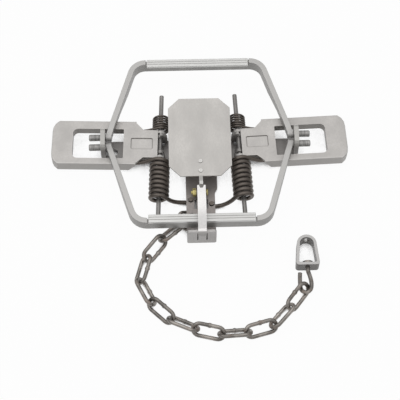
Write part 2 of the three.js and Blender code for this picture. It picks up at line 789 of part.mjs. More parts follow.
// Least distance between stretches of wire half a curl or more apart, less the wire
function leastGap(points, wireSize, coilRadius) {
  const along = [0];
  points.slice(1).forEach((point, index) => {
    along.push(along[index] + point.distanceTo(points[index]));
  });
  let least = Infinity;
  points.forEach((point, index) => {
    points.slice(index).forEach((other, ahead) => {
      if (along[index + ahead] - along[index] < Math.PI * coilRadius) return;
      least = Math.min(least, point.distanceTo(other));
    });
  });
  return least - wireSize;
}

function spring(side, end) {
  const heavy = end === 'front';
  const wireSize = heavy ? heavyWire : lightWire;
  const coilRadius = heavy ? heavyCoilRadius : lightCoilRadius;
  const points = springPath(side, end, wireSize, coilRadius,
    heavy ? heavyTurns : lightTurns, heavy ? heavyEndV : lightEndV);
  const least = leastGap(points, wireSize, coilRadius).toFixed(2);
  console.log(`${end}_spring_${side.name} least gap to itself ${least} mm`);
  return wire(points, wireSize / 2, springSides);
}

// Pan: an octagonal sheet, and its upright shank that swings on the pan bolt
function panPlate() {
  const corners = [
    [panFlatX, panHalfY], [-panFlatX, panHalfY], [-panHalfX, panFlatY],
    [-panHalfX, -panFlatY], [-panFlatX, -panHalfY], [panFlatX, -panHalfY],
    [panHalfX, -panFlatY], [panHalfX, panFlatY],
  ];
  const sheet = new THREE.ExtrudeGeometry(outline(corners), {
    depth: panSheet - panEdgeRound,
    bevelEnabled: true,
    bevelThickness: panEdgeRound / 2,
    bevelSize: panEdgeRound / 2,
    bevelOffset: -panEdgeRound / 2,
    bevelSegments: 1,
  }).translate(0, 0, panTopZ - panSheet + panEdgeRound / 2);
  const holes = tenonPlaces.map((y) => solid(pin([0, y, panTopZ - panSheet - overrun],
    [0, y, panTopZ + overrun], tenonRadius + gap)));
  return cut(solid(sheet), ...holes);
}

function panShank() {
  const underPanZ = panTopZ - panSheet - gap;
  const bossRadius = panEarRadius;
  const face = new THREE.Shape();
  face.moveTo(shankRearY, underPanZ - shankWeb);
  face.lineTo(shankRearY, underPanZ);
  face.lineTo(-panHalfY - gap, underPanZ);
  face.lineTo(-panHalfY - gap, panTopZ);
  face.lineTo(shankFrontY + shankHeadLength, shankTopZ);
  face.lineTo(shankFrontY, shankTopZ);
  face.lineTo(shankFrontY - gap, panTopZ);
  face.lineTo(panBoltY - bossRadius, panBoltZ);
  face.absarc(panBoltY, panBoltZ, bossRadius, Math.PI, 2 * Math.PI, false);
  face.lineTo(panBoltY + bossRadius + shankWeb, (panBoltZ + panTopZ) / 2);
  face.lineTo(-panHalfY + shankWeb, underPanZ - 2 * shankWeb);
  const web = solid(sidePlate(face, 0, shankThickness));
  const bore = solid(pin([-shankThickness, panBoltY, panBoltZ],
    [shankThickness, panBoltY, panBoltZ], panBoltRadius + gap));
  const tenons = tenonPlaces.map((y) => {
    const stem = solid(pin([0, y, underPanZ - shankWeb / 2], [0, y, panTopZ + gap],
      tenonRadius, stemSides));
    const head = solid(pin([0, y, panTopZ + gap], [0, y, panTopZ + gap + tenonRise],
      tenonHead, stemSides, gap));
    return joined(stem, head);
  });
  return joined(cut(web, bore), ...tenons);
}

function panBolt() {
  const earOuterX = shankThickness / 2 + gap + panEarThickness;
  const tailX = -earOuterX - gap - nutHeight - boltTail;
  const shank = solid(pin([tailX, panBoltY, panBoltZ],
    [earOuterX + gap + boltHeadHeight / 2, panBoltY, panBoltZ], panBoltRadius, stemSides,
    gap));
  const head = solid(pin([earOuterX + gap, panBoltY, panBoltZ],
    [earOuterX + gap + boltHeadHeight, panBoltY, panBoltZ], boltHeadRadius, boreSides,
    boltHeadHeight / 3));
  return joined(shank, head);
}

function panNut() {
  const innerX = -(shankThickness / 2 + 2 * gap + panEarThickness);
  const nut = solid(pin([innerX - nutHeight, panBoltY, panBoltZ],
    [innerX, panBoltY, panBoltZ], nutAcrossCorners / 2, nutSides));
  const bore = solid(pin([innerX - nutHeight - overrun, panBoltY, panBoltZ],
    [innerX + overrun, panBoltY, panBoltZ], panBoltRadius + gap));
  return cut(nut, bore);
}

// Dog: drawn from the side, from its eye in the lip over the jaw to the shank
function dog() {
  const centre = dogCentreline.map(([along, up]) => new THREE.Vector2(
    dogPivotY + along, dogPivotZ + up));
  const half = dogThickness / 2;
  const flank = (hand) => centre.map((point, index) => {
    const before = centre[Math.max(index - 1, 0)];
    const after = centre[Math.min(index + 1, centre.length - 1)];
    const along = after.clone().sub(before).normalize();
    return [point.x - hand * half * along.y, point.y + hand * half * along.x];
  });
  const arm = solid(sidePlate(outline([...flank(-1), ...flank(1).reverse()]), 0, dogWidth));
  const ring = (radius, width) => solid(sidePlate(new THREE.Shape().absarc(dogPivotY,
    dogPivotZ, radius, 0, 2 * Math.PI, false), 0, width, eyeSegments));
  const tipY = centre[centre.length - 1].x;
  const notch = solid(lyingPlate(outline([
    [-dogNotchWidth / 2, tipY + overrun], [-dogNotchWidth / 2, tipY - dogNotchDepth / 3],
    [-dogNotchWidth / 4, tipY - dogNotchDepth], [dogNotchWidth / 4, tipY - dogNotchDepth],
    [dogNotchWidth / 2, tipY - dogNotchDepth / 3], [dogNotchWidth / 2, tipY + overrun],
  ]), dogPivotZ, 2 * postHeight));
  return cut(joined(ring(dogEyeOuter, dogWidth), arm), ring(dogEyeInner,
    dogWidth + 2 * overrun), notch);
}

// Chain ring, flat under the cross plate and bent up outside it for the first
// link, and the stud that it swings on
function chainRing() {
  const ringZ = plateBottomZ - gap - ringWire / 2;
  const points = Array.from({ length: ringSteps }, (unused, step) => {
    const angle = (step / ringSteps) * 2 * Math.PI;
    const x = ringX + ringRadius * Math.cos(angle);
    const lift = ringLift * THREE.MathUtils.smoothstep(-x, -ringLiftStartX, -ringLiftEndX);
    return new THREE.Vector3(x, ringY + ringRadius * Math.sin(angle), ringZ + lift);
  });
  return wire(points, ringWire / 2, linkSides, true);
}

function ringStud() {
  const shank = solid(pin([studX, studY, gap], [studX, studY, plateTopZ], studRadius,
    stemSides));
  const head = solid(pin([studX, studY, gap], [studX, studY, gap + studHeadThickness],
    studHeadRadius));
  return joined(shank, head);
}

// Chain: each link's heading on the ground and its roll
const linkHeadingDegrees = [-140, -128, -106, -64, -44, -24, -14, 3, 15, 48, 52];
const linkRollDegrees = [44, -45, 47, -47, 46, -45, 45, -45, 45, -45, 48];
const jointReach = chainWire / 2 + wireGap / 2;
const chainJoints = [[chainStartX, chainStartY]];
linkHeadingDegrees.forEach((heading) => {
  const angle = THREE.MathUtils.degToRad(heading);
  const [x, y] = chainJoints[chainJoints.length - 1];
  chainJoints.push([x + linkPitch * Math.cos(angle), y + linkPitch * Math.sin(angle)]);
});
const [chainEndX, chainEndY] = chainJoints[chainJoints.length - 1];
const boxX = chainEndX - eyeBottom[0] + eyeSeatX;
const boxNearY = chainEndY + eyeTopGap - eyeBottom[1] - eyeSeatY;
const boxFarY = boxNearY + boxLength;

// An oval link between two joints, rolled about the line between them
function chainLink(from, to, rollDegrees) {
  const start = new THREE.Vector3(from[0], from[1], chainZ);
  const end = new THREE.Vector3(to[0], to[1], chainZ);
  const along = end.clone().sub(start).normalize();
  const flatSide = new THREE.Vector3(-along.y, along.x, 0);
  const roll = THREE.MathUtils.degToRad(rollDegrees);
  const across = flatSide.applyAxisAngle(along, roll);
  const bendRadius = (linkWidth - chainWire) / 2;
  const centres = [
    end.clone().addScaledVector(along, jointReach - bendRadius),
    start.clone().addScaledVector(along, bendRadius - jointReach),
  ];
  const points = centres.flatMap((centre, index) => {
    const bend = [];
    for (let step = 0; step <= linkBendSteps; step += 1) {
      const angle = (step / linkBendSteps) * Math.PI - Math.PI / 2 + index * Math.PI;
      bend.push(centre.clone()
        .addScaledVector(along, bendRadius * Math.cos(angle))
        .addScaledVector(across, bendRadius * Math.sin(angle)));
    }
    return bend;
  });
  return wire(points, chainWire / 2, linkSides, true);
}

// Swivel eye: a headed stud through the box, its tail bent round in an eye
function swivelEye() {
  const eyeTop = boxNearY - eyeTopGap;
  const path = eyePath.map(([x, y]) => new THREE.Vector3(x, y, 0));
  const eye = solid(wire(smoothed(path, eyeSteps), eyeWire / 2, linkSides)
    .rotateY(THREE.MathUtils.degToRad(eyeRollDegrees))
    .translate(boxX, eyeTop, swivelZ));
  const headInnerY = boxNearY + boxFloor + gap;
  const head = solid(pin([boxX, headInnerY, swivelZ],
    [boxX, headInnerY + studHeadLength, swivelZ], studHead, boreSides, gap));
  return joined(eye, head);
}

// Swivel box: a strap bent in a closed bow, holed at both ends
function swivelBox() {
  const strapShape = (inset) => {
    const near = boxHalfWidth - inset;
    const far = boxFarHalf - inset;
    const nearY = boxNearY + (inset > 0 ? boxFloor : 0);
    const corner = boxCorner - inset / 2;
    const shape = new THREE.Shape();
    shape.absarc(boxX + near - corner, nearY + corner, corner, -Math.PI / 2, 0, false);
    shape.absarc(boxX, boxFarY - boxFarHalf, far, 0, Math.PI, false);
    shape.absarc(boxX - near + corner, nearY + corner, corner, Math.PI, 1.5 * Math.PI, false);
    return shape;
  };
  const outer = solid(lyingPlate(strapShape(0), swivelZ - boxHeight / 2, boxHeight,
    strapSegments));
  const inner = solid(lyingPlate(strapShape(boxStrap), -overrun, boxHeight + 2 * overrun,
    strapSegments));
  const nearHole = solid(pin([boxX, boxNearY - overrun, swivelZ],
    [boxX, boxNearY + boxFloor + overrun, swivelZ], eyeWire / 2 + gap, stemSides));
  const farHole = solid(pin([boxX, boxFarY - 2 * boxStrap, swivelZ],
    [boxX, boxFarY + overrun, swivelZ], boxHoleRadius, stemSides));
  return cut(outer, inner, nearHole, farHole);
}

// The assembly
add('base_frame', baseFrame(), baseSteel);
add('cross_plate', crossPlate(), plateSteel);
crossRivets().forEach((rivet, index) => {
  add(`cross_plate_rivet_${index + 1}`, rivet, plateSteel);
});
Object.values(sides).forEach((side) => {
  add(`spring_rod_${side.name}`, springRod(side), rodSteel);
  add(`lever_${side.name}`, lever(side), pressedSteel);
  ['front', 'rear'].forEach((end) => {
    add(`${end}_spring_${side.name}`, spring(side, end), springSteel);
  });
});
[['rear', 1], ['front', -1]].forEach(([end, hand]) => {
  add(`${end}_jaw`, jaw(hand), jawSteel);
  add(`${end}_jaw_strip`, jawStrip(hand), stripSteel);
});
add('pan_plate', panPlate(), pressedSteel);
add('pan_shank', panShank(), dogSteel);
add('pan_bolt', panBolt(), brass);
add('pan_nut', panNut(), brass);
add('dog', dog(), dogSteel);
add('chain_ring', chainRing(), chainSteel);
add('ring_stud', ringStud(), plateSteel);
linkRollDegrees.forEach((roll, index) => {
  const link = chainLink(chainJoints[index], chainJoints[index + 1], roll);
  add(`chain_link_${String(index + 1).padStart(2, '0')}`, link, chainSteel);
});
add('swivel_eye', swivelEye(), eyeSteel);
add('swivel_box', swivelBox(), eyeSteel);

export default trap;
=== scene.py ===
"""An offset jaw trap, set, with its chain curved on a pale floor before it.

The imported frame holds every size. Each section below is one piece of the trap,
or one group of like pieces, in the order in which the trap is put together.
"""

import json
import math

import bmesh
import bpy
from mathutils import Matrix, Vector


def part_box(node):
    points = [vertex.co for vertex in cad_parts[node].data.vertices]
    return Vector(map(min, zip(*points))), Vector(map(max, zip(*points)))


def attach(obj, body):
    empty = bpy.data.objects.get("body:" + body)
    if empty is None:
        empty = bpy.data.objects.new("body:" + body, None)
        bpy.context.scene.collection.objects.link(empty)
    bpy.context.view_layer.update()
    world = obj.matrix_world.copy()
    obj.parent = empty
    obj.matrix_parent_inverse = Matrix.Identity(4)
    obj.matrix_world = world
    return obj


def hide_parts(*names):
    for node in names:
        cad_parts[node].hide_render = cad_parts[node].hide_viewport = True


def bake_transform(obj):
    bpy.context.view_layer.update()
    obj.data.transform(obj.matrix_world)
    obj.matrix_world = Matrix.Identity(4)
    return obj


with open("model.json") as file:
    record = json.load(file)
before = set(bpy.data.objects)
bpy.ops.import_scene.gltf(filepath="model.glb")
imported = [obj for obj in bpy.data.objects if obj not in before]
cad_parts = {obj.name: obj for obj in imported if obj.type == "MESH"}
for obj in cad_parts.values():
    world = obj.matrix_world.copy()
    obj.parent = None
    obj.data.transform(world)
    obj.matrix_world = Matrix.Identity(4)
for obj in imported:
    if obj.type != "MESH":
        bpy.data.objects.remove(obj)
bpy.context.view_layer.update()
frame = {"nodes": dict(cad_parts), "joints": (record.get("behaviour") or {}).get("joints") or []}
MM = 0.001


# The view: one long lens, high in front of the trap, a little to its left.
# Its place was fitted to the photograph's corners, and it is turned slightly.
LENS = 119.55
SENSOR_WIDTH = 36
FARTHEST = 20
LOOK_AT = Vector((-1.25, -63.87, 10)) * MM
DISTANCE = 1374.8 * MM
ELEVATION = math.radians(62.17)
AZIMUTH = math.radians(-2.216)
ROLL = math.radians(0.731)

bpy.context.scene.view_settings.view_transform = "Standard"
towards = Vector((
    math.cos(ELEVATION) * math.sin(AZIMUTH),
    -math.cos(ELEVATION) * math.cos(AZIMUTH),
    math.sin(ELEVATION),
))
camera = bpy.data.objects.new("camera", bpy.data.cameras.new("camera"))
camera.data.lens = LENS
camera.data.sensor_width = SENSOR_WIDTH
camera.data.clip_end = FARTHEST
turn = towards.to_track_quat("Z", "Y").to_matrix().to_4x4()
camera.matrix_world = (
    Matrix.Translation(LOOK_AT + DISTANCE * towards)
    @ turn
    @ Matrix.Rotation(ROLL, 4, "Z")
)
bpy.context.scene.collection.objects.link(camera)
bpy.context.scene.camera = camera


# Base frame: one bar of hot-rolled steel with both ends turned up as posts, and
# four punched ears for the rods. The levers' windows rub its posts bright.
BASE_COLOR = (0.30, 0.285, 0.275)
BASE_EDGE = 0.5 * MM
BASE_STRETCH = (0.3, 1, 1)
RUBBED_COLOR = (0.43, 0.42, 0.4)
RUB_FROM = 16 * MM
RUB_TO = 30 * MM

EVEN = (1, 1, 1)
MOTTLE = {"scale": 45, "detail": 5, "low": 0.3, "high": 0.7}
SPECKS = {"scale": 700, "detail": 3, "low": 0.35, "high": 0.65}
SPECK_SHARE = 0.35
SPECK_SHADE = 0.75
DENT_STRENGTH = 0.25
DENT_DEPTH = 0.05 * MM
ROUGHNESS_SPREAD = 0.16
CORNER_SAMPLES = 8
# Painted shade: a dark colour laid into the corners and creases of a piece.
PAINTED_SHADE_COLOR = (0.07, 0.06, 0.052)
CORNER_SHADE_REACH = 4 * MM
CORNER_SHADE_RANGE = (0.25, 0.95)
CORNER_SHADE_SHARE = 0.6
# Outer edges lighter: partly wear, partly a painted highlight.
WORN_LIT_REACH = 1.1 * MM
WORN_LIT_RANGE = (0.15, 0.6)
WORN_LIT_SHARE = 0.5
WORN_LIT_GAIN = 1.45

MERGE = 0.01 * MM
NO_LENGTH = 0.001 * MM
FLAT_ANGLE = math.radians(1)
SHARP_ANGLE = math.radians(30)
SMOOTH_ANGLE = math.radians(38)


class Term:
    """A value in a tree of nodes: sums written with it add Math nodes."""

    def __init__(self, nodes, socket):
        self.nodes = nodes
        self.socket = socket

    def math(self, operation, *others):
        return self.nodes.add(
            "ShaderNodeMath", {"operation": operation}, [self, *others])

    def __add__(self, other):
        return self.math("ADD", other)

    def __mul__(self, other):
        return self.math("MULTIPLY", other)

    def __sub__(self, other):
        return self.math("SUBTRACT", other)

    def __rsub__(self, other):
        return self.nodes.add("ShaderNodeMath", {"operation": "SUBTRACT"}, [other, self])

    __radd__ = __add__
    __rmul__ = __mul__


class Nodes:
    """A tree of shader nodes, with one way to add to it."""

    def __init__(self, tree):
        self.tree = tree

    def put(self, socket, value):
        if isinstance(value, Term):
            self.tree.links.new(value.socket, socket)
        elif socket.type == "RGBA":
            socket.default_value = (*value, 1)
        else:
            socket.default_value = value

    def add(self, kind, settings, sockets, output=0):
        node = self.tree.nodes.new(kind)
        for name, value in settings.items():
            setattr(node, name, value)
        pairs = sockets.items() if isinstance(sockets, dict) else enumerate(sockets)
        for name, value in pairs:
            self.put(node.inputs[name], value)
        return Term(self, node.outputs[output])

    def part(self, vector, axis):
        return self.add("ShaderNodeSeparateXYZ", {}, [vector], axis)

    def mix(self, factor, first, second):
        return self.add("ShaderNodeMix", {"data_type": "RGBA"}, {
            0: factor, 6: first, 7: second,
        }, 2)

    def step(self, value, low, high):
        return self.add("ShaderNodeMapRange", {}, {
            "Value": value, "From Min": low, "From Max": high,
        })


class Finish(Nodes):
    """One finish of the trap's steel or brass, or of the board under it."""

    def __init__(self, name, color, roughness, metallic):
        self.material = bpy.data.materials.new(name)
        self.material.use_nodes = True
        super().__init__(self.material.node_tree)
        self.color = color
        self.roughness = roughness
        self.surface = self.tree.nodes["Principled BSDF"]
        self.feed("Base Color", color)
        self.feed("Roughness", roughness)
        self.feed("Metallic", metallic)

    def feed(self, name, value):
        self.put(self.surface.inputs[name], value)

    def place(self):
        return self.add("ShaderNodeTexCoord", {}, {}, "Object")

    def at(self, axis):
        """How far along an axis of the trap a point of the piece is."""
        return self.part(self.place(), axis)

    def faces(self, axis):
        """How much the surface faces along an axis, from -1 to 1."""
        return self.part(self.add("ShaderNodeTexCoord", {}, {}, "Normal"), axis)

    def patches(self, scale, detail, low, high, stretch=EVEN):
        spread = self.add("ShaderNodeMapping", {}, {
            "Vector": self.place(), "Scale": stretch,
        })
        cloud = self.add("ShaderNodeTexNoise", {}, {
            "Vector": spread, "Scale": scale, "Detail": detail,
        })
        return self.step(cloud, low, high)

    def corner_shade(self, reach=CORNER_SHADE_REACH):
        """Grows from 0 in the open to 1 deep in a corner of the piece: the mask of a painted
        shade.
        """
        open_air = self.add("ShaderNodeAmbientOcclusion", {
            "samples": CORNER_SAMPLES, "only_local": True,
        }, {"Distance": reach}, "AO")
        return self.step(1 - open_air, *CORNER_SHADE_RANGE)

    def worn_and_lit_edge(self):
        """Grows from 0 on a flat to 1 along an outer edge of the piece: the mask of wear and a
        painted highlight.
        """
        depth = self.add("ShaderNodeAmbientOcclusion", {
            "samples": CORNER_SAMPLES, "only_local": True, "inside": True,
        }, {"Distance": WORN_LIT_REACH}, "AO")
        return self.step(1 - depth, *WORN_LIT_RANGE)

    def dent(self, height, strength=DENT_STRENGTH, depth=DENT_DEPTH):
        self.feed("Normal", self.add("ShaderNodeBump", {}, {
            "Strength": strength, "Distance": depth, "Height": height,
        }))

    def dress(self, wear, stretch=EVEN):
        """Gives bare steel a mottled tone and specks, edges lightened by wear and a painted
        highlight, and painted shade in its corners.
        """
        color = self.color
        mottle = self.patches(**MOTTLE, stretch=stretch)
        speck = self.patches(**SPECKS, stretch=stretch)
        worn_and_lit = self.worn_and_lit_edge() * WORN_LIT_SHARE
        corner_shaded = self.corner_shade() * CORNER_SHADE_SHARE
        tone = self.mix(mottle, shaded(color, 1 - wear), shaded(color, 1 + wear / 2))
        tone = self.mix(speck * SPECK_SHARE, tone, shaded(color, SPECK_SHADE))
        # Wear and a painted highlight along the outer edges.
        tone = self.mix(worn_and_lit, tone, shaded(color, WORN_LIT_GAIN))
        # Painted shade in the piece's corners.
        tone = self.mix(corner_shaded, tone, PAINTED_SHADE_COLOR)
        smoothest = self.roughness - ROUGHNESS_SPREAD / 2
        self.feed("Base Color", tone)
        self.feed("Roughness", mottle * ROUGHNESS_SPREAD + smoothest)
        self.dent(speck)
        return tone


def shaded(color, share):
    return tuple(share * part for part in color)


def steel(name, color, roughness, metallic, wear, stretch=EVEN):
    """A finish of bare steel that is the same all over a piece."""
    finish = Finish(name, color, roughness, metallic)
    finish.dress(wear, stretch)
    return finish.material


def solid_of(node):
    """A merged copy of a node of the frame, with whole faces for its flats."""
    bm = bmesh.new()
    bm.from_mesh(frame["nodes"][node].data)
    bmesh.ops.remove_doubles(bm, verts=bm.verts, dist=MERGE)
    bmesh.ops.dissolve_limit(
        bm, angle_limit=FLAT_ANGLE, verts=bm.verts, edges=bm.edges)
    return bm


def sharp(edge):
    return len(edge.link_faces) == 2 and edge.calc_face_angle(0) > SHARP_ANGLE


def ease(bm, radius, segments=2, pick=sharp):
    """Rounds the picked edges of a solid off, and drops the faces left without area."""
    edges = [edge for edge in bm.edges if pick(edge)]
    bmesh.ops.bevel(
        bm, geom=edges, offset=radius, offset_type="OFFSET", segments=segments,
        profile=0.5, affect="EDGES", material=-1, clamp_overlap=True,
    )
    bmesh.ops.dissolve_degenerate(bm, dist=NO_LENGTH, edges=bm.edges)


def made(name, bm, material, body, node):
    """Turns a bmesh into a finished piece that rides on a body, if one is given."""
    mesh = bpy.data.meshes.new(name)
    bm.to_mesh(mesh)
    bm.free()
    mesh.materials.clear()
    mesh.materials.append(material)
    mesh.shade_smooth()
    mesh.set_sharp_from_angle(angle=SMOOTH_ANGLE)
    piece = bpy.data.objects.new(name, mesh)
    bpy.context.scene.collection.objects.link(piece)
    flats = piece.modifiers.new("flats", "WEIGHTED_NORMAL")
    flats.keep_sharp = True
    if body:
        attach(piece, body)
    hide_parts(node)
    return piece


def eased_copy(name, node, radius, material, body):
    """Makes a finished piece of a node's own shape, with its edges rounded off."""
    bm = solid_of(node)
    ease(bm, radius)
    made(name, bm, material, body, node)


base_finish = Finish("base_finish", BASE_COLOR, roughness=0.42, metallic=0.4)
base_tone = base_finish.dress(wear=0.2, stretch=BASE_STRETCH)
rubbed = base_finish.step(base_finish.at("Z"), RUB_FROM, RUB_TO)
base_finish.feed("Base Color", base_finish.mix(rubbed, base_tone, RUBBED_COLOR))
eased_copy("base_bar", "base_frame", BASE_EDGE, base_finish.material,
           "frame")


# Spring rods: plain round bars, a little splayed, that the levers swing on.
# Their ends are chamfered, and the springs have rubbed their skin in patches.
ROD_COLOR = (0.27, 0.26, 0.25)
ROD_SIDES = 24
ROD_X = 41.5 * MM
ROD_Z = 14 * MM
ROD_RADIUS = 2.4 * MM
ROD_CHAMFER = 0.6 * MM
ROD_REAR = 61 * MM
ROD_FRONT = -86 * MM
SPLAY = math.radians(2.2)
SIDES = {"left": -1, "right": 1}


def beside(side):
    """Moves a shape drawn about the Y axis on to a side's rod."""
    sign = SIDES[side]
    return (
        Matrix.Translation((sign * ROD_X, 0, ROD_Z))
        @ Matrix.Rotation(sign * SPLAY, 4, "Z")
    )


rod_finish = steel("rod_finish", ROD_COLOR, roughness=0.36, metallic=0.6, wear=0.35)
for side in SIDES:
    rod = bmesh.new()
    bmesh.ops.create_cone(
        rod, cap_ends=True, segments=ROD_SIDES, radius1=ROD_RADIUS, radius2=ROD_RADIUS,
        depth=ROD_REAR - ROD_FRONT,
    )
    ease(rod, ROD_CHAMFER)
    rod.transform(
        beside(side)
        @ Matrix.Translation((0, (ROD_REAR + ROD_FRONT) / 2, 0))
        @ Matrix.Rotation(math.pi / 2, 4, "X")
    )
    made(f"rod_{side}", rod, rod_finish, "frame", f"spring_rod_{side}")


# Cross plate: a strip from behind the base to the lip that stands on the ground.
# Its lip is slit for the dog and worn bright, and the rest is darker and browner, partly dirt
# and partly painted shade.
PLATE_COLOR = (0.33, 0.30, 0.285)
PLATE_EDGE = 0.5 * MM
PLATE_STRETCH = (1, 0.4, 1)
PLATE_BLOTCHES = {"scale": 60, "detail": 5, "low": 0.3, "high": 0.7}
PLATE_BLOTCH_SHARE = 0.35
PLATE_BLOTCH_SHADE = 0.7
PLATE_FLECKS = {"scale": 600, "detail": 3, "low": 0.35, "high": 0.65}
PLATE_FLECK_SHARE = 0.25
PLATE_FLECK_SHADE = 0.6
LIP_COLOR = (0.52, 0.51, 0.50)
LIP_REAR = -105.2 * MM
LIP_FADE = 2 * MM

worn_and_shaded_plate = Finish("worn_plate_finish", LIP_COLOR, roughness=0.45, metallic=0.4)
shaded_behind_lip = worn_and_shaded_plate.step(worn_and_shaded_plate.at("Y"), LIP_REAR, LIP_REAR + LIP_FADE)
blotch = worn_and_shaded_plate.patches(**PLATE_BLOTCHES, stretch=PLATE_STRETCH)
fleck = worn_and_shaded_plate.patches(**PLATE_FLECKS)
# Painted shade in the plate's corners.
corner_shaded = worn_and_shaded_plate.corner_shade() * CORNER_SHADE_SHARE
# Painted shade: the plate behind the lip is darker, partly for dirt and partly for the shade it
# lies in.
plate_tone = worn_and_shaded_plate.mix(shaded_behind_lip, LIP_COLOR, PLATE_COLOR)
plate_tone = worn_and_shaded_plate.mix(
    blotch * PLATE_BLOTCH_SHARE, plate_tone, shaded(PLATE_COLOR, PLATE_BLOTCH_SHADE))
plate_tone = worn_and_shaded_plate.mix(
    fleck * PLATE_FLECK_SHARE, plate_tone, shaded(PLATE_COLOR, PLATE_FLECK_SHADE))
worn_and_shaded_plate.feed("Base Color", worn_and_shaded_plate.mix(corner_shaded, plate_tone, PAINTED_SHADE_COLOR))
worn_and_shaded_plate.dent(fleck)
eased_copy("cross_plate_strip", "cross_plate", PLATE_EDGE, worn_and_shaded_plate.material,
           "frame")


# Rivets of the cross plate: soft steel, their heads domed by the set, with the
# plate's own brown skin.
RIVETS = 4
RIVET_SIDES = 24
RIVET_HEAD = 4.2 * MM
RIVET_TOP = 0.55 * RIVET_HEAD
RIVET_RISE = 1.5 * MM
RIVET_ROUND = 0.5 * MM

plate_finish = steel("plate_finish", PLATE_COLOR, roughness=0.45, metallic=0.55,
                     wear=0.3, stretch=PLATE_STRETCH)
for number in range(1, RIVETS + 1):
    node = f"cross_plate_rivet_{number}"
    low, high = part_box(node)
    centre = (low + high) / 2
    rivet = bmesh.new()
    bmesh.ops.create_cone(
        rivet, cap_ends=True, segments=RIVET_SIDES, radius1=RIVET_HEAD,
        radius2=RIVET_TOP, depth=RIVET_RISE,
        matrix=Matrix.Translation((centre.x, centre.y, high.z - RIVET_RISE / 2)),
    )
    ease(rivet, RIVET_ROUND, segments=3)
    made(f"rivet_{number}", rivet, plate_finish, "frame", node)


# Levers: sheet pressed to a channel round a window, with a sunk pad on the neck
# and eyes on the rod. The press leaves full round shoulders on the rails.
LEVER_COLOR = (0.52, 0.50, 0.48)
LEVER_TOP = 19.4 * MM
LEVER_SHOULDER = 4 * MM
LEVER_LIP = 1.3 * MM
LEVER_EDGE = 0.3 * MM
RAILS_FROM = 27 * MM
RAIL_OUTSIDE = 24 * MM
END_FROM = 100 * MM

PAD_FROM = 8 * MM
PAD_TO = 30.5 * MM
PAD_Y = -0.9 * MM
PAD_HALF = 6.4 * MM
PAD_CORNER = 1.5 * MM
# Painted light on the levers: a highlight on the shoulders, and shade on the skirts, inside the
# window and in a line round the pad.
PAD_LINE = 0.6 * MM
PAD_SHADE_SHARE = 0.65
SHOULDER_HIGHLIGHT_COLOR = (0.72, 0.705, 0.685)
SHOULDER_START = (0.55, 0.75)
SHOULDER_STOP = (0.9, 0.985)
SHOULDER_HIGHLIGHT_SHARE = 0.55
WINDOW_HALF = 21 * MM
WINDOW_REACH = 81 * MM
WINDOW_FADE = 1 * MM
INSIDE_SHADE_COLOR = (0.16, 0.145, 0.13)
INSIDE_RANGE = (0.4, 0.7)
INSIDE_SHADE_SHARE = 0.6
SKIRT_RANGE = (0.3, 0.6)
SKIRT_SHADE_SHARE = 0.4
SKIRT_SHADE = 0.5


def lever_steel(side):
    """The levers' steel, with a painted highlight on its shoulders and painted shade on its
    skirts, inside its window and round its pad.
    """
    finish = Finish(f"lever_finish_{side}", LEVER_COLOR, roughness=0.42, metallic=0.35)
    tone = finish.dress(wear=0.2)
    sign = SIDES[side]
    pad_spot = beside(side) @ Vector((sign * (PAD_FROM + PAD_TO) / 2, PAD_Y, 0))
    level = finish.add("ShaderNodeVectorRotate", {"rotation_type": "Z_AXIS"}, {
        "Vector": finish.place(), "Center": pad_spot, "Angle": -sign * SPLAY,
    })
    apart = finish.add(
        "ShaderNodeVectorMath", {"operation": "SUBTRACT"}, [level, pad_spot])
    across = finish.part(apart, "X").math("ABSOLUTE")
    along = finish.part(apart, "Y").math("ABSOLUTE")
    over_x = (across - ((PAD_TO - PAD_FROM) / 2 - PAD_CORNER)).math("MAXIMUM", 0)
    over_y = (along - (PAD_HALF - PAD_CORNER)).math("MAXIMUM", 0)
    corner = (over_x * over_x + over_y * over_y).math("SQRT")
    off_line = (corner - PAD_CORNER).math("ABSOLUTE")
    # Painted shade: a dark line round the pad.
    pad_shade_line = 1 - finish.step(off_line, PAD_LINE / 3, PAD_LINE)

    upward = finish.faces("Z")
    upright = upward.math("ABSOLUTE")
    # Painted highlight on the upper curve of the shoulders.
    shoulder_highlight = (
        finish.step(upward, *SHOULDER_START) * (1 - finish.step(upward, *SHOULDER_STOP))
    )
    # Painted shade on the window's inner walls.
    inside = (
        (1 - finish.step(upright, *INSIDE_RANGE))
        * (1 - finish.step(along, WINDOW_HALF, WINDOW_HALF + WINDOW_FADE))
        * (1 - finish.step(across, WINDOW_REACH, WINDOW_REACH + WINDOW_FADE))
    )
    # Painted shade on the skirts' sides.
    skirt_shade = 1 - finish.step(upright, *SKIRT_RANGE)
    tone = finish.mix(skirt_shade * SKIRT_SHADE_SHARE, tone, shaded(LEVER_COLOR, SKIRT_SHADE))
    tone = finish.mix(shoulder_highlight * SHOULDER_HIGHLIGHT_SHARE, tone, SHOULDER_HIGHLIGHT_COLOR)
    tone = finish.mix(inside * INSIDE_SHADE_SHARE, tone, INSIDE_SHADE_COLOR)
    finish.feed("Base Color", finish.mix(pad_shade_line * PAD_SHADE_SHARE, tone, PAINTED_SHADE_COLOR))
    return finish.material


def on_lever(side, edge):
    """The middle of an edge as lengths out from the rod and along it."""
    middle = (edge.verts[0].co + edge.verts[1].co) / 2
    out = beside(side).inverted() @ middle
    return SIDES[side] * out.x, abs(out.y)


def turned_down(edge):
    """The edges of the top face, where the press turned the sheet down."""
    return sharp(edge) and all(
        abs(vert.co.z - LEVER_TOP) < MERGE for vert in edge.verts)


def outside(side, edge):
    """The edges along the outside of the rails and round the outer end."""
    out, along = on_lever(side, edge)
    return turned_down(edge) and out > RAILS_FROM and (
        along > RAIL_OUTSIDE or out > END_FROM)


def round_window(side, edge):
    """The edges round the window."""
    out, along = on_lever(side, edge)
    return (turned_down(edge) and RAILS_FROM < out < END_FROM
            and along < RAIL_OUTSIDE)


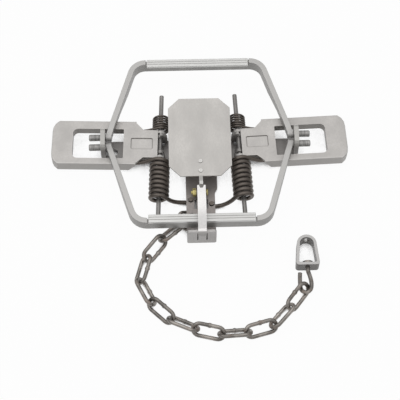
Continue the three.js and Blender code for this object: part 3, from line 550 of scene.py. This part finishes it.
for side in SIDES:
    lever = solid_of(f"lever_{side}")
    ease(lever, LEVER_SHOULDER, segments=6, pick=lambda edge: outside(side, edge))
    ease(lever, LEVER_LIP, segments=3, pick=lambda edge: round_window(side, edge))
    ease(lever, LEVER_EDGE, pick=turned_down)
    made(f"pressed_lever_{side}", lever, lever_steel(side),
         f"lever_{side}", f"lever_{side}")


# Springs: round wire wound cold and oiled, so almost black. One leg runs out
# under the lever, and the other in under the cross plate and up through a hole.
SPRING_COLOR = (0.135, 0.115, 0.1)
CURL_STEPS = 16
WIRE_SIDES = 6
WIRE_STEPS = 3
LEVER_LEG_END = 31 * MM
LEVER_LEG_LEVEL = 19 * MM
LEVER_LEG_LEAN = math.radians(30)
CENTRE_LEG_LEAN = math.radians(60)
LEVER_SKIN_BOTTOM = 16.4 * MM
LEVER_LEG_GAP = 0.6 * MM
PLATE_BOTTOM = 5.1 * MM
PLATE_TOP = 8.1 * MM
LEG_GAP = 0.3 * MM
LEG_DROP_X = 28 * MM
LEG_DROP_Z = 7 * MM
LEG_RUN = 18 * MM
LEG_TIP_X = 10.8 * MM
LEG_TIP_RISE = 1.6 * MM
SPRINGS = {
    "front": {"wire": 4.5 * MM, "radius": 8.6 * MM, "turns": 8,
              "start": 18.4 * MM, "end": 67 * MM, "to": -1,
              "drop": {"left": 4.5 * MM, "right": -0.5 * MM}},
    "rear": {"wire": 2.2 * MM, "radius": 7.8 * MM, "turns": 5,
             "start": 16.2 * MM, "end": 33.2 * MM, "to": 1,
             "drop": {"left": -1.1 * MM, "right": -1.1 * MM}},
}


def face_out(bm):
    """Turns every face of a closed mesh outwards, also where it is a ring."""
    bmesh.ops.recalc_face_normals(bm, faces=bm.faces)
    if bm.calc_volume(signed=True) < 0:
        bmesh.ops.reverse_faces(bm, faces=bm.faces)


def bent_wire(name, points, radius, closed=False):
    """A round wire through points, as the mesh of a swept curve."""
    curve = bpy.data.curves.new(name, "CURVE")
    curve.dimensions = "3D"
    curve.bevel_depth = radius
    curve.bevel_resolution = WIRE_SIDES
    curve.resolution_u = WIRE_STEPS
    curve.use_fill_caps = not closed
    spline = curve.splines.new("BEZIER")
    spline.bezier_points.add(len(points) - 1)
    for knot, point in zip(spline.bezier_points, points):
        knot.co = point
        knot.handle_left_type = "AUTO"
        knot.handle_right_type = "AUTO"
    spline.use_cyclic_u = closed
    holder = bpy.data.objects.new(name, curve)
    bpy.context.scene.collection.objects.link(holder)
    bm = bmesh.new()
    bm.from_mesh(bpy.data.meshes.new_from_object(
        holder.evaluated_get(bpy.context.evaluated_depsgraph_get())))
    bpy.data.objects.remove(holder)
    bmesh.ops.remove_doubles(bm, verts=bm.verts, dist=MERGE)
    face_out(bm)
    return bm


def spring_points(side, kind):
    """The middle of a spring's wire, from the lever's leg to the plate's hole."""
    sign = SIDES[side]
    to = kind["to"]
    radius = kind["radius"]
    half = kind["wire"] / 2
    start = kind["start"] + half
    stop = kind["end"] - half
    spot = beside(side)
    leg_z = LEVER_SKIN_BOTTOM - LEVER_LEG_GAP - half - ROD_Z

    def at(out, along, up):
        return spot @ Vector((sign * out, to * along, up))

    points = [at(LEVER_LEG_END, start, leg_z), at(LEVER_LEG_LEVEL, start, leg_z)]
    wound = kind["turns"] * 2 * math.pi + CENTRE_LEG_LEAN + LEVER_LEG_LEAN
    steps = round(wound / (2 * math.pi) * CURL_STEPS)
    for step in range(steps + 1):
        angle = wound * step / steps - LEVER_LEG_LEAN
        along = start + (stop - start) * step / steps
        points.append(at(-radius * math.sin(angle), along, radius * math.cos(angle)))
    tip_y = to * kind["end"] + kind["drop"][side]
    under = PLATE_BOTTOM - LEG_GAP - half
    points += [
        Vector((sign * LEG_DROP_X, (points[-1].y + tip_y) / 2, LEG_DROP_Z)),
        Vector((sign * LEG_RUN, tip_y, under)),
        Vector((sign * (LEG_TIP_X + half), tip_y, under)),
        Vector((sign * LEG_TIP_X, tip_y, under + half)),
        Vector((sign * LEG_TIP_X, tip_y, PLATE_TOP + LEG_TIP_RISE)),
    ]
    return points


spring_finish = steel("spring_finish", SPRING_COLOR, roughness=0.34, metallic=0.6,
                      wear=0.35)
for side in SIDES:
    for end, kind in SPRINGS.items():
        name = f"{end}_coil_{side}"
        wire = bent_wire(name, spring_points(side, kind), kind["wire"] / 2)
        coil = made(name, wire, spring_finish, None,
                    f"{end}_spring_{side}")
        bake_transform(coil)


# Jaws: flat bar on edge, bent to a bow, with its ends turned out as pivots. The bar's sheared
# edges are brighter than its sides, partly the cut steel and partly a painted highlight, and the
# pivots are ridged.
JAW_COLOR = (0.36, 0.352, 0.34)
JAW_EDGE = 0.45 * MM
# Painted highlight, with the cut steel's own sheen, on faces that look up or down.
SHEARED_HIGHLIGHT_COLOR = (0.55, 0.54, 0.525)
SHEARED_HIGHLIGHT_RANGE = (0.5, 0.85)
SHEARED_HIGHLIGHT_SHARE = 0.6
PIVOT_COLOR = (0.34, 0.33, 0.32)
PIVOT_RIDGES = {"scale": 700, "detail": 2, "low": 0.4, "high": 0.6}
PIVOT_STRETCH = (1, 0.2, 0.2)
PIVOT_SHADE = 0.5
PIVOT_SHARE = 0.8
POST_X = 103.5 * MM
POST_FADE = 0.5 * MM
ENDS = ("front", "rear")


def sheared_and_highlit(finish):
    """Is 1 where a bar's cut edges look up or down, and 0 on its rolled faces: the mask of the
    cut steel's sheen and a painted highlight.
    """
    return finish.step(finish.faces("Z").math("ABSOLUTE"), *SHEARED_HIGHLIGHT_RANGE)


jaw_finish = Finish("jaw_finish", JAW_COLOR, roughness=0.4, metallic=0.35)
jaw_tone = jaw_finish.dress(wear=0.3)
# Painted highlight on the faces that look up or down.
jaw_tone = jaw_finish.mix(sheared_and_highlit(jaw_finish) * SHEARED_HIGHLIGHT_SHARE, jaw_tone, SHEARED_HIGHLIGHT_COLOR)
ridged = jaw_finish.patches(**PIVOT_RIDGES, stretch=PIVOT_STRETCH)
pivot_tone = jaw_finish.mix(ridged, shaded(PIVOT_COLOR, PIVOT_SHADE), PIVOT_COLOR)
from_middle = jaw_finish.at("X").math("ABSOLUTE")
past_post = jaw_finish.step(from_middle, POST_X, POST_X + POST_FADE) * PIVOT_SHARE
jaw_finish.feed("Base Color", jaw_finish.mix(past_post, jaw_tone, pivot_tone))
for end in ENDS:
    eased_copy(f"jaw_bow_{end}", f"{end}_jaw", JAW_EDGE, jaw_finish.material,
               f"{end}_jaw")


# Gripping strips: thin bars welded side by side along each jaw's top, so that
# fine seams run their whole length. They are the brightest of the jaw's steel.
STRIP_COLOR = (0.64, 0.635, 0.62)
STRIP_STRETCH = (0.15, 1, 1)
STRIP_ROUND = 0.6 * MM
STRIP_SEAMS = (0.36, 0.66)
STRIP_SEAM_DEPTH = 0.5 * MM
STRIP_SEAM_WIDTH = 0.35 * MM

strip_finish = steel("strip_finish", STRIP_COLOR, roughness=0.36, metallic=0.5,
                     wear=0.18, stretch=STRIP_STRETCH)
for end in ENDS:
    low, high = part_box(f"{end}_jaw_strip")
    size = high - low
    strip = bmesh.new()
    bmesh.ops.create_cube(strip, size=1, matrix=Matrix.LocRotScale(
        (low + high) / 2, None, size))
    ease(strip, STRIP_ROUND, segments=3)
    for share in STRIP_SEAMS:
        seam = low.y + share * size.y
        for place in (-1, 0, 1):
            bmesh.ops.bisect_plane(
                strip, geom=strip.verts[:] + strip.edges[:] + strip.faces[:],
                plane_co=(0, seam + place * STRIP_SEAM_WIDTH, 0), plane_no=(0, 1, 0),
            )
        for vert in strip.verts:
            if abs(vert.co.y - seam) < MERGE and vert.co.z > high.z - MERGE:
                vert.co.z -= STRIP_SEAM_DEPTH
    made(f"grip_strip_{end}", strip, strip_finish, f"{end}_jaw",
         f"{end}_jaw_strip")


# Pan: a thin sheet with its corners cut off, held by the shank's two tenons.
# Its top is left bare, as plain mottled steel.
PAN_COLOR = (0.57, 0.55, 0.525)
PAN_STRETCH = (1, 0.5, 1)
SHANK_COLOR = (0.6, 0.59, 0.57)
PAN_EDGE = 0.4 * MM

pan_finish = steel("pan_finish", PAN_COLOR, roughness=0.48, metallic=0.35, wear=0.2,
                   stretch=PAN_STRETCH)
shank_finish = steel("shank_finish", SHANK_COLOR, roughness=0.42, metallic=0.4,
                     wear=0.18)
eased_copy("pan_sheet", "pan_plate", PAN_EDGE, pan_finish, "pan")
eased_copy("pan_post", "pan_shank", PAN_EDGE, shank_finish, "pan")


# Pan bolt and nut: yellow brass, turned, with the tool's fine rings dulled.
# They hold the shank's eye between the cross plate's two ears.
BRASS_COLOR = (0.62, 0.53, 0.22)
BRASS_EDGE = 0.3 * MM

brass_finish = steel("brass_finish", BRASS_COLOR, roughness=0.3, metallic=0.8,
                     wear=0.18)
for name, node in (("pan_pivot_bolt", "pan_bolt"), ("pan_pivot_nut", "pan_nut")):
    eased_copy(name, node, BRASS_EDGE, brass_finish, "frame")


# Dog: a cast finger, filed bright, that arches over the front jaw from its eye
# in the lip. Its tip is notched for the pan's post.
DOG_COLOR = (0.95, 0.93, 0.915)
DOG_EDGE = 0.5 * MM
# Painted shade on the front faces of the dog's eye at the lip.
DOG_EYE_SHADE_COLOR = (0.25, 0.24, 0.23)
DOG_EYE_Y = -106.5 * MM
DOG_EYE_FADE = 1 * MM
DOG_EYE_SHADE_RANGE = (0.25, 0.5)
DOG_EYE_SHADE_SHARE = 0.8

dog_finish = Finish("dog_finish", DOG_COLOR, roughness=0.5, metallic=0.05)
dog_tone = dog_finish.dress(wear=0.06)
# Painted shade on the faces of the eye that look forward.
front_shaded = dog_finish.step(0 - dog_finish.faces("Y"), *DOG_EYE_SHADE_RANGE)
at_eye = 1 - dog_finish.step(dog_finish.at("Y"), DOG_EYE_Y - DOG_EYE_FADE, DOG_EYE_Y)
dog_finish.feed("Base Color", dog_finish.mix(
    front_shaded * at_eye * DOG_EYE_SHADE_SHARE, dog_tone, DOG_EYE_SHADE_COLOR))
eased_copy("dog_finger", "dog", DOG_EDGE, dog_finish.material, "dog")


# Chain ring and its stud: a ring of round wire, flat under the plate and bent
# up outside it, where the first link hangs. It is brown from the ground.
CHAIN_COLOR = (0.235, 0.218, 0.2)
CHAIN_MOTTLE = {"scale": 90, "detail": 5, "low": 0.35, "high": 0.65}
CHAIN_DARK = 0.62
CHAIN_LIGHT = 1.45
CHAIN_CORNER_SHADE_SHARE = 0.7
CHAIN_ROUGHNESS = 0.3
CHAIN_METALLIC = 0.8
CHAIN_DENT_STRENGTH = 0.3
CHAIN_DENT_DEPTH = 0.08 * MM
RUST_COLOR = (0.23, 0.115, 0.06)
RUST = {"scale": 160, "detail": 6, "low": 0.52, "high": 0.68}
RUST_SHARE = 0.3
RUST_ROUGHENS = 0.25
RUST_DULLS = 0.6
RING_CENTRE = Vector((-14, -84.2, 3.2)) * MM
RING_RADIUS = 10.4 * MM
RING_WIRE = 3.2 * MM
RING_LIFT = 3.8 * MM
RING_LIFT_FROM = -16.9 * MM
RING_LIFT_TO = -21.5 * MM
RING_STEPS = 24
STUD_EDGE = 0.3 * MM

chain_finish = Finish("chain_finish", CHAIN_COLOR, CHAIN_ROUGHNESS, CHAIN_METALLIC)
mottle = chain_finish.patches(**CHAIN_MOTTLE)
rust = chain_finish.patches(**RUST)
# Painted shade in the corners of each link and of the ring.
corner_shaded = chain_finish.corner_shade() * CHAIN_CORNER_SHADE_SHARE
chain_tone = chain_finish.mix(
    mottle, shaded(CHAIN_COLOR, CHAIN_DARK), shaded(CHAIN_COLOR, CHAIN_LIGHT))
chain_tone = chain_finish.mix(rust * RUST_SHARE, chain_tone, RUST_COLOR)
chain_finish.feed("Base Color", chain_finish.mix(corner_shaded, chain_tone, PAINTED_SHADE_COLOR))
chain_finish.feed("Roughness", rust * RUST_ROUGHENS + CHAIN_ROUGHNESS)
chain_finish.feed("Metallic", CHAIN_METALLIC - rust * RUST_DULLS)
chain_finish.dent(mottle, CHAIN_DENT_STRENGTH, CHAIN_DENT_DEPTH)

ring_points = []
for step in range(RING_STEPS):
    angle = 2 * math.pi * step / RING_STEPS
    point = RING_CENTRE + RING_RADIUS * Vector((math.cos(angle), math.sin(angle), 0))
    share = (RING_LIFT_FROM - point.x) / (RING_LIFT_FROM - RING_LIFT_TO)
    share = min(max(share, 0), 1)
    point.z += RING_LIFT * share * share * (3 - 2 * share)
    ring_points.append(point)
ring = bent_wire("ring_of_chain", ring_points, RING_WIRE / 2, closed=True)
made("ring_of_chain", ring, chain_finish.material, "chain_ring",
     "chain_ring")
eased_copy("stud_of_ring", "ring_stud", STUD_EDGE, plate_finish, "frame")


# Chain: eleven plain oval links of round wire, bent and butt-welded. They lie on
# the ground leaning turn and turn about, and hang together joint by joint.
LINK_WIRE = 4.1 * MM
LINK_BEND = 6.45 * MM
LINK_REACH = 2.625 * MM
LINK_ROLLS = (44, -45, 47, -47, 46, -45, 45, -45, 45, -45, 48)
LINK_SIDES = 14
LINK_STEPS = 10
WELD_RISE = 0.55 * MM
WELD_HALF = 1.9 * MM
WELD_CUTS = (-1, -0.5, 0, 0.5, 1)


def edges_of(parts):
    return [part for part in parts if isinstance(part, bmesh.types.BMEdge)]


def ends_of(edges):
    """The vertices of edges, each once and in the same order in every run."""
    return dict.fromkeys(vert for edge in edges for vert in edge.verts)


def oval_wire(straight):
    """A closed oval of round wire about the origin, its straights along X."""
    bm = bmesh.new()
    bmesh.ops.create_circle(
        bm, segments=LINK_SIDES, radius=LINK_WIRE / 2,
        matrix=Matrix.Translation((straight / 2, -LINK_BEND, 0))
        @ Matrix.Rotation(math.pi / 2, 4, "Y"),
    )
    last = bm.edges[:]
    for sign in (1, -1):
        last = edges_of(bmesh.ops.spin(
            bm, geom=[*ends_of(last), *last], cent=(sign * straight / 2, 0, 0),
            axis=(0, 0, 1), angle=math.pi, steps=LINK_STEPS,
        )["geom_last"])
        if sign > 0:
            drawn = bmesh.ops.extrude_edge_only(bm, edges=last)["geom"]
            moved = [part for part in drawn if isinstance(part, bmesh.types.BMVert)]
            bmesh.ops.translate(bm, verts=moved, vec=(-straight, 0, 0))
            last = [edge for edge in edges_of(drawn)
                    if all(vert in moved for vert in edge.verts)]
    bmesh.ops.remove_doubles(bm, verts=bm.verts, dist=MERGE)
    loops = [edge for edge in bm.edges if len(edge.link_faces) == 1]
    bmesh.ops.bridge_loops(bm, edges=loops)
    return bm


def weld(bm):
    """Raises the bead of the weld in the middle of a link's one straight."""
    for share in WELD_CUTS:
        bmesh.ops.bisect_plane(
            bm, geom=bm.verts[:] + bm.edges[:] + bm.faces[:],
            plane_co=(share * WELD_HALF, 0, 0), plane_no=(1, 0, 0),
        )
    for vert in bm.verts:
        if vert.co.y > 0 and abs(vert.co.x) < WELD_HALF:
            out = Vector((0, vert.co.y - LINK_BEND, vert.co.z)).normalized()
            vert.co += out * WELD_RISE * (1 - (vert.co.x / WELD_HALF) ** 2)


def chain_link(start, end, roll):
    """A link between two joints, leaning over by its roll."""
    along = (end - start).normalized()
    level = Vector((-along.y, along.x, 0))
    across = Matrix.Rotation(roll, 3, along) @ level
    bm = oval_wire((end - start).length + 2 * LINK_REACH - 2 * LINK_BEND)
    weld(bm)
    bm.transform(Matrix((along, across, along.cross(across))).transposed().to_4x4())
    bm.transform(Matrix.Translation((start + end) / 2))
    face_out(bm)
    return bm


swings = {joint["child"]: Vector(joint["pos_m"]) for joint in frame["joints"]
          if joint["type"] == "hinge"}
hung = [f"chain_link_{number + 1:02d}" for number in range(len(LINK_ROLLS))]
for number, (node, after, roll) in enumerate(
        zip(hung, [*hung[1:], "swivel_eye"], LINK_ROLLS), 1):
    link = chain_link(swings[node], swings[after], math.radians(roll))
    made(f"link_{number:02d}", link, chain_finish.material, node, node)


# Swivel: a wire eye with a headed shank, free to turn in a box of bent strap.
# The box has a hole in its closed end for a stake or a drag.
EYE_EDGE = 0.3 * MM
STRAP_COLOR = (0.16, 0.153, 0.145)
STRAP_EDGE = 0.7 * MM
# Painted shade deep inside the box, and a painted highlight with the cut steel's sheen on its
# edges.
STRAP_CORNER_SHADE_REACH = 9 * MM
STRAP_CORNER_SHADE_SHARE = 0.85
STRAP_SHEARED_HIGHLIGHT_COLOR = (0.54, 0.53, 0.52)
STRAP_SHEARED_HIGHLIGHT_SHARE = 0.7

eased_copy("swivel_wire_eye", "swivel_eye", EYE_EDGE, chain_finish.material,
           "swivel_eye")

strap_finish = Finish("strap_finish", STRAP_COLOR, roughness=0.36, metallic=0.6)
strap_tone = strap_finish.dress(wear=0.45)
# Painted shade deep inside the box.
deep_shade = strap_finish.corner_shade(STRAP_CORNER_SHADE_REACH) * STRAP_CORNER_SHADE_SHARE
strap_tone = strap_finish.mix(deep_shade, strap_tone, PAINTED_SHADE_COLOR)
# Painted highlight, with the cut steel's sheen, on edges that look up or down.
strap_finish.feed("Base Color", strap_finish.mix(
    sheared_and_highlit(strap_finish) * STRAP_SHEARED_HIGHLIGHT_SHARE, strap_tone, STRAP_SHEARED_HIGHLIGHT_COLOR))
eased_copy("swivel_strap", "swivel_box", STRAP_EDGE, strap_finish.material,
           "swivel_box")


# Floor: a sheet of plain white board that runs on past the picture. Its colour makes it white,
# and it stays dark only where the trap closes in over it, where painted shade takes its glow
# away.
FLOOR_HALF = 6
FLOOR_DROP = 0.2 * MM
FLOOR_COLOR = (0.62, 0.62, 0.62)
FLOOR_GLOW = 0.96
FLOOR_SAMPLES = 16
FLOOR_SHADES = (
    {"reach": 10 * MM, "dark": 0.2, "open": 0.36},
    {"reach": 40 * MM, "dark": 0.19, "open": 0.25},
)

board = Finish("floor_board", FLOOR_COLOR, roughness=0.9, metallic=0)
seen = (
    board.add("ShaderNodeLightPath", {}, {}, "Is Camera Ray")
    + board.add("ShaderNodeLightPath", {}, {}, "Is Glossy Ray")
)
# Painted shade: the glow fades where the trap closes in over the floor.
for shade in FLOOR_SHADES:
    open_air = board.add("ShaderNodeAmbientOcclusion", {"samples": FLOOR_SAMPLES}, {
        "Distance": shade["reach"],
    }, "AO")
    seen = seen * board.step(open_air, shade["dark"], shade["open"])
white = board.add("ShaderNodeEmission", {}, {"Color": (1, 1, 1), "Strength": 1.0})
whole = board.add("ShaderNodeMixShader", {}, [
    seen * FLOOR_GLOW, Term(board, board.surface.outputs[0]), white,
])
board.put(board.tree.nodes["Material Output"].inputs["Surface"], whole)

floor = bmesh.new()
bmesh.ops.create_grid(
    floor, x_segments=1, y_segments=1, size=FLOOR_HALF,
    matrix=Matrix.Translation((0, 0, -FLOOR_DROP)),
)
floor_mesh = bpy.data.meshes.new("floor")
floor.to_mesh(floor_mesh)
floor.free()
floor_mesh.materials.append(board.material)
floor_piece = bpy.data.objects.new("floor", floor_mesh)
bpy.context.scene.collection.objects.link(floor_piece)


# Light: a broad soft box above, and a pale room that is brightest overhead, so
# that tops are lighter than sides and a colour renders about as it is written.
ROOM_LOW = 0.3
ROOM_HIGH = 0.95
LAMP_PLACE = Vector((-0.35, 0.1, 1.6))
LAMP_SIZE = 2.6
LAMP_POWER = 11

world = bpy.data.worlds.new("room")
world.use_nodes = True
room = Nodes(world.node_tree)
upward = room.part(room.add("ShaderNodeTexCoord", {}, {}, "Generated"), "Z")
bright = room.add("ShaderNodeMapRange", {}, {
    "Value": upward, "To Min": ROOM_LOW, "To Max": ROOM_HIGH,
})
walls = world.node_tree.nodes["Background"]
room.put(walls.inputs["Color"], (1, 1, 1))
room.put(walls.inputs["Strength"], bright)
bpy.context.scene.world = world

light = bpy.data.lights.new("soft_box", "AREA")
light.shape = "DISK"
light.size = LAMP_SIZE
light.energy = LAMP_POWER
lamp = bpy.data.objects.new("soft_box", light)
lamp.location = LAMP_PLACE
lamp.rotation_euler = (LAMP_PLACE - LOOK_AT).to_track_quat("Z", "Y").to_euler()
bpy.context.scene.collection.objects.link(lamp)
